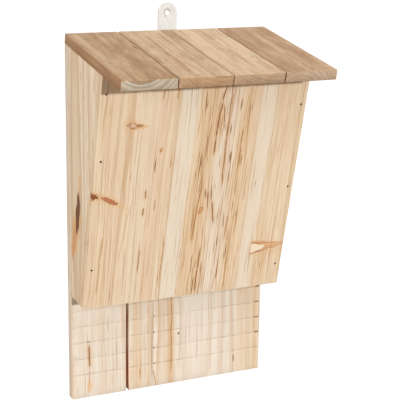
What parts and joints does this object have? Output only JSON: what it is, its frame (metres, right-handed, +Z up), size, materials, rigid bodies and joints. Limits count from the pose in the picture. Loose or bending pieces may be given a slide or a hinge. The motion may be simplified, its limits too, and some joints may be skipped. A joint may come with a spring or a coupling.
{
  "type": "bat box",
  "caption": "Wall-hung wooden bat box with a slanted front, a sloping plank roof, an open bottom and a grooved landing board.",
  "frame": {"origin": "centre of the hanging hole, on the hanger plate's rear face, which meets the wall", "axes": "+Y into the wall, +Z up, +X to the right as seen from the front"},
  "size_m": [0.2786, 0.1924, 0.5165],
  "materials": {
    "wood_front": "untreated planed softwood",
    "wood_side": "untreated planed softwood",
    "wood_back": "untreated planed softwood",
    "wood_roof": "darker untreated softwood",
    "wood_batten": "untreated sawn softwood",
    "zinc_plate": "zinc-plated sheet",
    "screw_steel": "zinc-plated",
    "nail_steel": "dull bare steel"
  },
  "bodies": {
    "root": {"back_board_narrow": "wood_back", "back_board_stave": "wood_back", "back_board_wide": "wood_back", "back_batten_upper": "wood_batten", "back_batten_lower": "wood_batten", "side_panel_left": "wood_side", "side_panel_right": "wood_side", "front_stave_left": "wood_front", "front_stave_middle": "wood_front", "front_stave_right": "wood_front", "roof_plank_1": "wood_roof", "roof_plank_2": "wood_roof", "roof_plank_3": "wood_roof", "roof_plank_4": "wood_roof", "hanger_plate": "zinc_plate", "hanger_screws": "screw_steel", "front_nails": "nail_steel", "side_nails": "nail_steel", "roof_nails_front": "nail_steel", "roof_nails_back": "nail_steel", "batten_nails": "nail_steel"}
  },
  "joints": []
}
